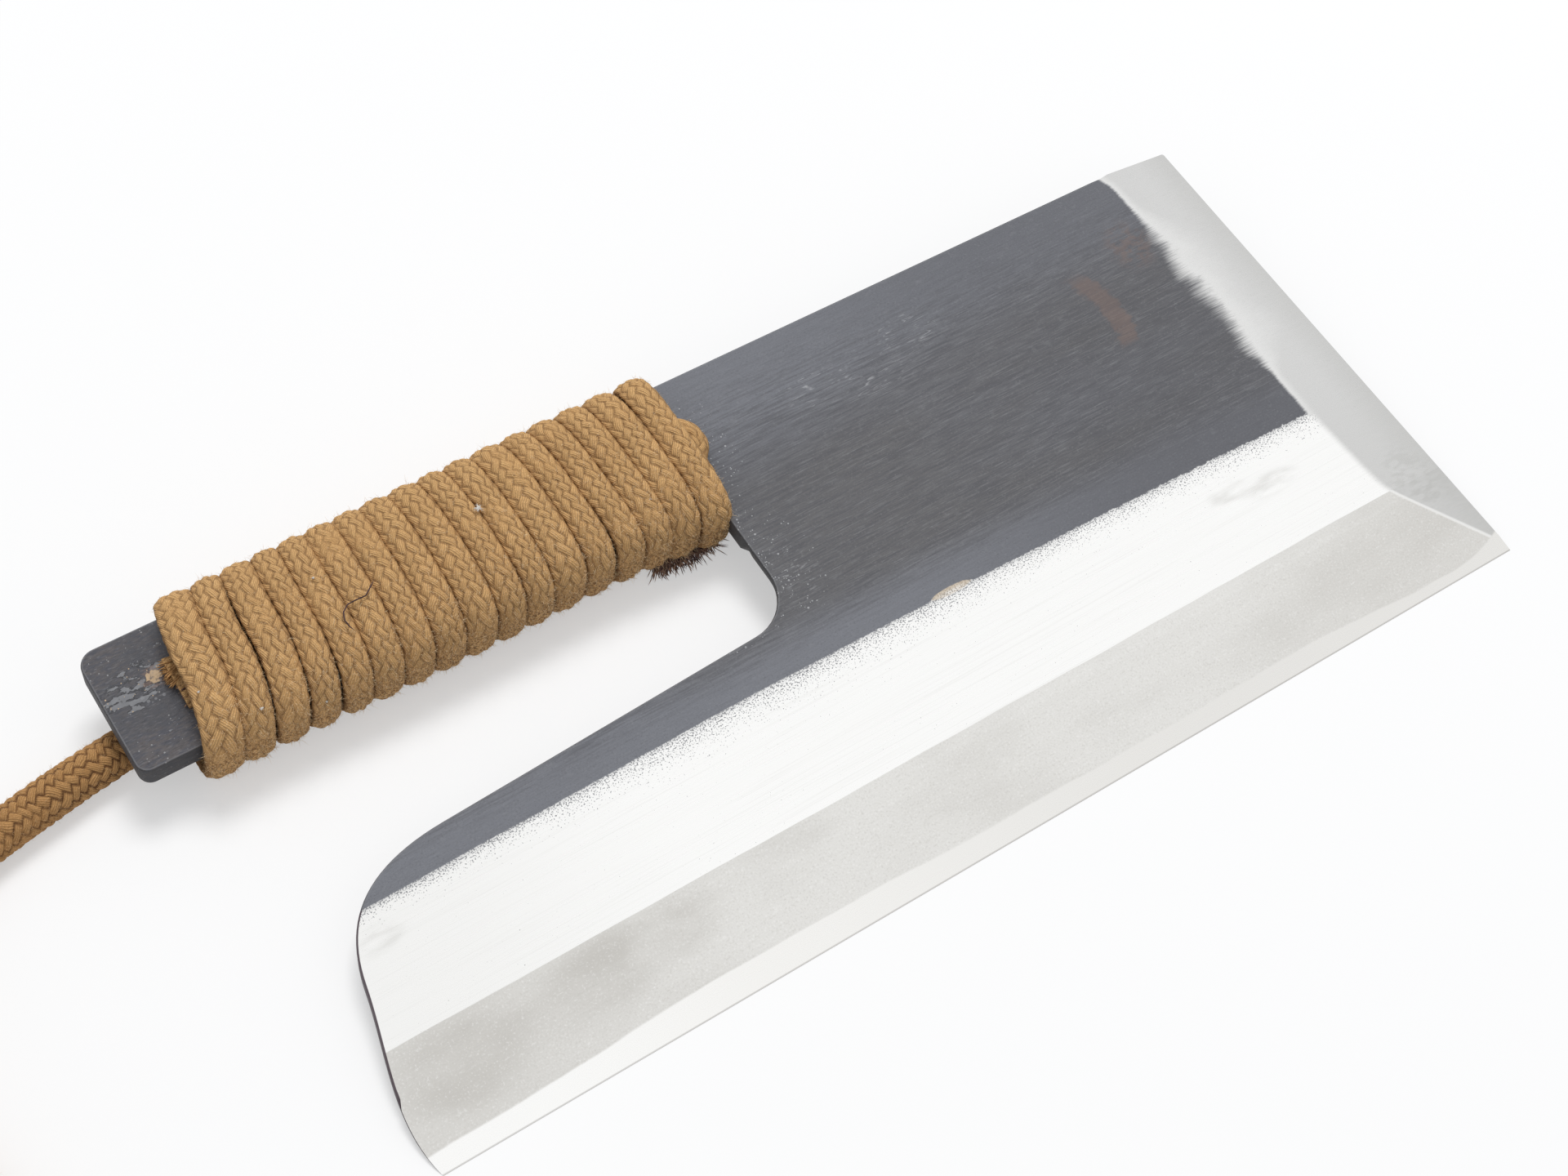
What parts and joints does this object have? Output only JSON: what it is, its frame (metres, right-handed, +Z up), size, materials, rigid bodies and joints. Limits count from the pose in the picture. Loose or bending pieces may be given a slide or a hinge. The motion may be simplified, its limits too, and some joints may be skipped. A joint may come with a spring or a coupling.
{
  "type": "soba knife",
  "caption": "Broad noodle-cutting knife: laminated single-bevel blade whose tang runs back over the edge, grip wound with braided cord, finger gap between grip and heel, loose cord tail.",
  "frame": {"origin": "on the surface that the knife lies on, under the middle of its box without the loose tail", "axes": "+X along the cutting edge towards the toe, +Y from the edge towards the spine, +Z up from the surface; the blade leans a little because it lies on its edge and on the grip"},
  "size_m": [0.3108, 0.1166, 0.0205],
  "materials": {
    "forged_iron": "black forge scale on the upper face, ground and polished below",
    "edge_steel": "fine ground hard steel",
    "braided_cord": "matte braided cotton, slightly fuzzy"
  },
  "bodies": {
    "root": {"blade_body": "forged_iron", "edge_steel": "edge_steel", "grip_winding": "braided_cord", "laid_bight": "braided_cord", "lanyard_run": "braided_cord", "lanyard_tail": "braided_cord"}
  },
  "joints": []
}
